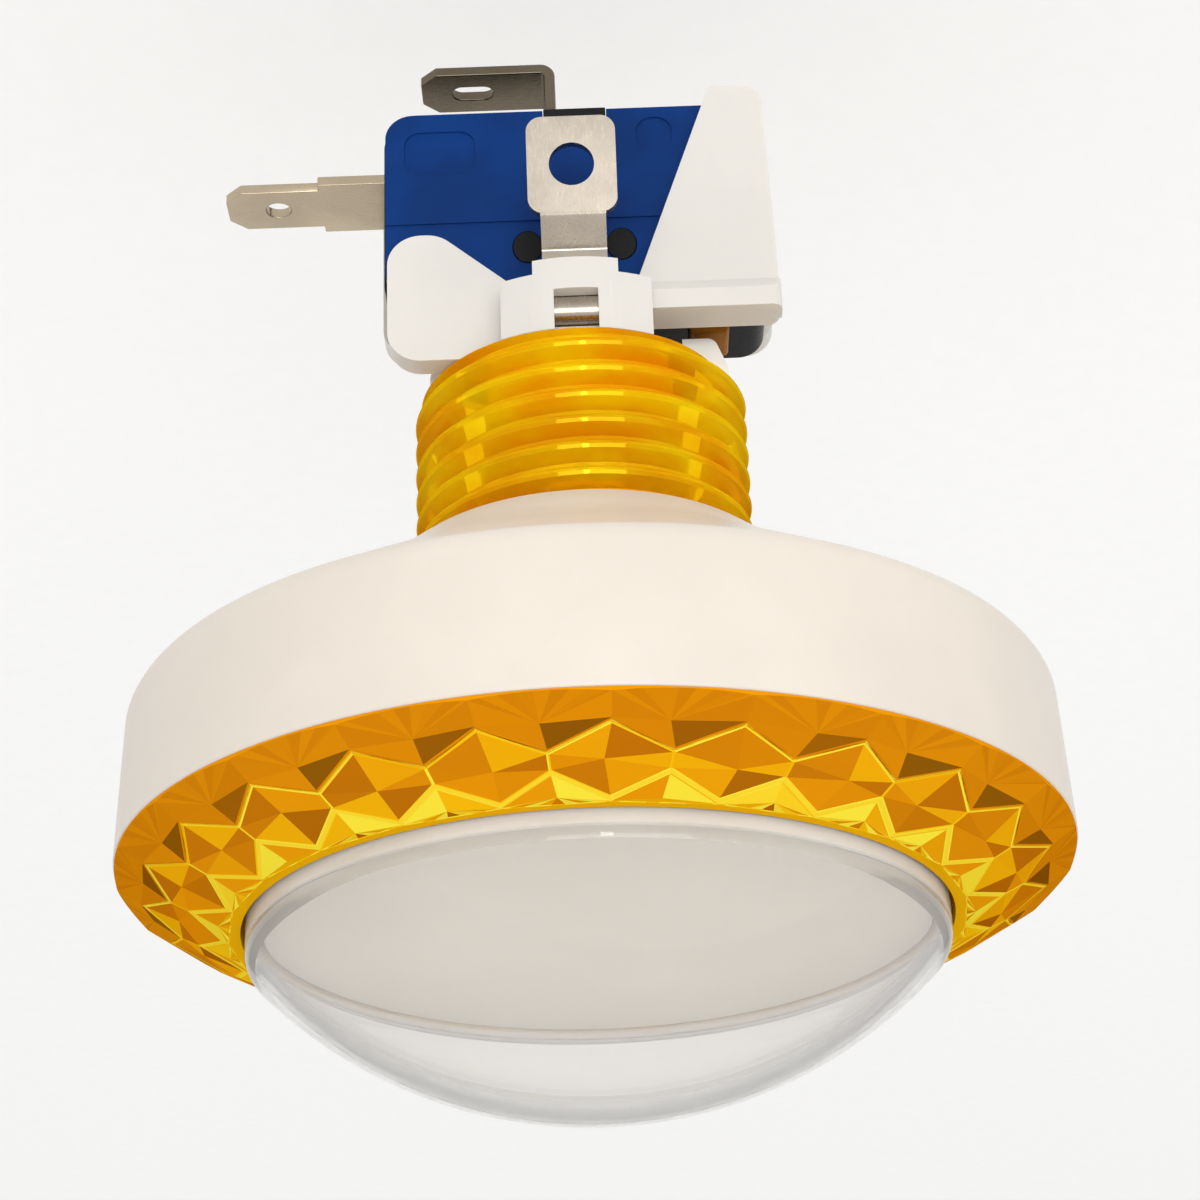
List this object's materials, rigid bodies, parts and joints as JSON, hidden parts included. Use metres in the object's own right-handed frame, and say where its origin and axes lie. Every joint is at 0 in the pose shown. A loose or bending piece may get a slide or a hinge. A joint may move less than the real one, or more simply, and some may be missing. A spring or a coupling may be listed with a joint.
{
  "type": "arcade push button",
  "caption": "Illuminated dome push button for an arcade cabinet: clear cap over a white disc in a gem-cut amber bezel, white bell cup, threaded barrel, lamp holder and miniature switch.",
  "frame": {"origin": "on the barrel's axis in the plane where the cup's foot seats on the panel", "axes": "+Z out of the panel through the top of the dome; -Y is the side of the switch's blue cover and of the front lamp tab; +X towards the switch's straight tab"},
  "size_m": [0.064, 0.064, 0.0804],
  "materials": {
    "amber": "clear amber moulding, polished",
    "white_cup": "white moulding with a soft sheen",
    "clear": "clear polished moulding",
    "legend": "white diffusing sheet",
    "white_nylon": "white moulding, satin",
    "spring_wire": "drawn wire",
    "lamp_glass": "clear glass",
    "plated": "tin-plated sheet brass",
    "black_case": "black moulding",
    "blue_cover": "blue moulding, satin",
    "brown_pin": "brown moulding",
    "contact": "silver-faced rivet",
    "blade": "springy copper alloy sheet"
  },
  "bodies": {
    "base": {"bezel_body": "amber", "cup": "white_cup", "return_spring": "spring_wire", "lamp": "lamp_glass", "lamp_holder": "white_nylon", "lamp_terminal_front": "plated", "lamp_terminal_rear": "plated", "switch_case": "black_case", "switch_cover": "blue_cover", "fixed_contact": "contact", "com_terminal": "plated", "no_terminal": "plated"},
    "button": {"dome_lens": "clear", "legend_disc": "legend", "plunger": "white_nylon"},
    "pin": {"switch_pin": "brown_pin"},
    "blade": {"switch_blade": "blade", "moving_contact": "contact"}
  },
  "joints": [
    {"name": "button_slide", "type": "slide", "parent": "base", "child": "button", "axis": [0, 0, -1], "range_m": [0, 0.0024], "stiffness_N_per_m": 285, "springref_m": -0.0053, "deforming": ["return_spring"]},
    {"name": "pin_slide", "type": "slide", "parent": "base", "child": "pin", "axis": [0, 0, -1], "range_m": [0, 0.0016]},
    {"name": "blade_hinge", "type": "hinge", "parent": "base", "child": "blade", "pos_m": [-0.0114, 0, -0.02865], "axis": [0, 1, 0], "range_deg": [0, 2.3]}
  ],
  "couplings": [
    {"joint": "pin_slide", "follows": "button_slide", "ratio": 0.66657},
    {"joint": "blade_hinge", "follows": "button_slide", "rad_per_m": 16.726}
  ]
}
